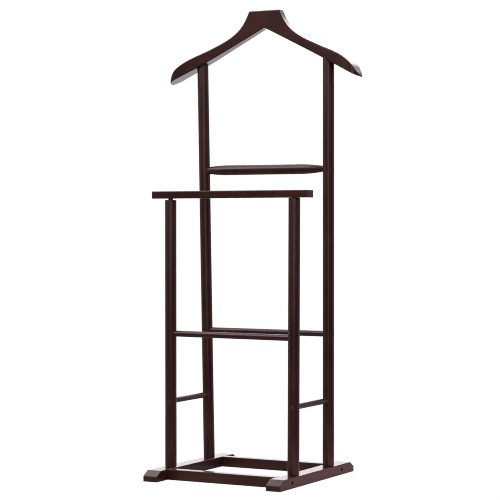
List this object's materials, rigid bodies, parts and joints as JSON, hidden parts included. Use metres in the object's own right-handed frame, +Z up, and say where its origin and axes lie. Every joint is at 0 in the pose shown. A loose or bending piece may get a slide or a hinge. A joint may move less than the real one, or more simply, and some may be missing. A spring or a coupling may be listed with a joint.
{
  "type": "valet stand",
  "caption": "Dark wooden valet stand with a contoured coat hanger, a turned trouser rail and a straight front bar on a framed base.",
  "frame": {"origin": "on the floor, under the middle of the stand's outer box", "axes": "+Z up; +Y towards the back, where the hanger is; +X towards the stand's right as seen from the front"},
  "size_m": [0.5, 0.377, 1.082],
  "materials": {
    "dark_wood": "dark walnut stain under a satin lacquer",
    "dark_steel": "blackened, hexagon socket heads"
  },
  "bodies": {
    "root": {"left_runner": "dark_wood", "right_runner": "dark_wood", "front_base_rail": "dark_wood", "rear_base_rail": "dark_wood", "front_left_post": "dark_wood", "front_right_post": "dark_wood", "rear_left_post": "dark_wood", "rear_right_post": "dark_wood", "front_top_bar": "dark_wood", "hanger": "dark_wood", "trouser_rail": "dark_wood", "front_mid_rail": "dark_wood", "rear_mid_rail": "dark_wood", "left_side_rail": "dark_wood", "right_side_rail": "dark_wood", "front_left_dowel": "dark_wood", "front_right_dowel": "dark_wood", "rear_left_dowel": "dark_wood", "rear_right_dowel": "dark_wood", "front_left_base_bolt": "dark_steel", "front_right_base_bolt": "dark_steel", "rear_left_base_bolt": "dark_steel", "rear_right_base_bolt": "dark_steel", "front_left_foot_screw": "dark_steel", "front_right_foot_screw": "dark_steel", "rear_left_foot_screw": "dark_steel", "rear_right_foot_screw": "dark_steel", "front_left_side_screw": "dark_steel", "front_right_side_screw": "dark_steel", "rear_left_side_screw": "dark_steel", "rear_right_side_screw": "dark_steel", "front_left_mid_screw": "dark_steel", "front_right_mid_screw": "dark_steel", "rear_left_mid_screw": "dark_steel", "rear_right_mid_screw": "dark_steel", "left_trouser_rail_screw": "dark_steel", "right_trouser_rail_screw": "dark_steel"}
  },
  "joints": []
}
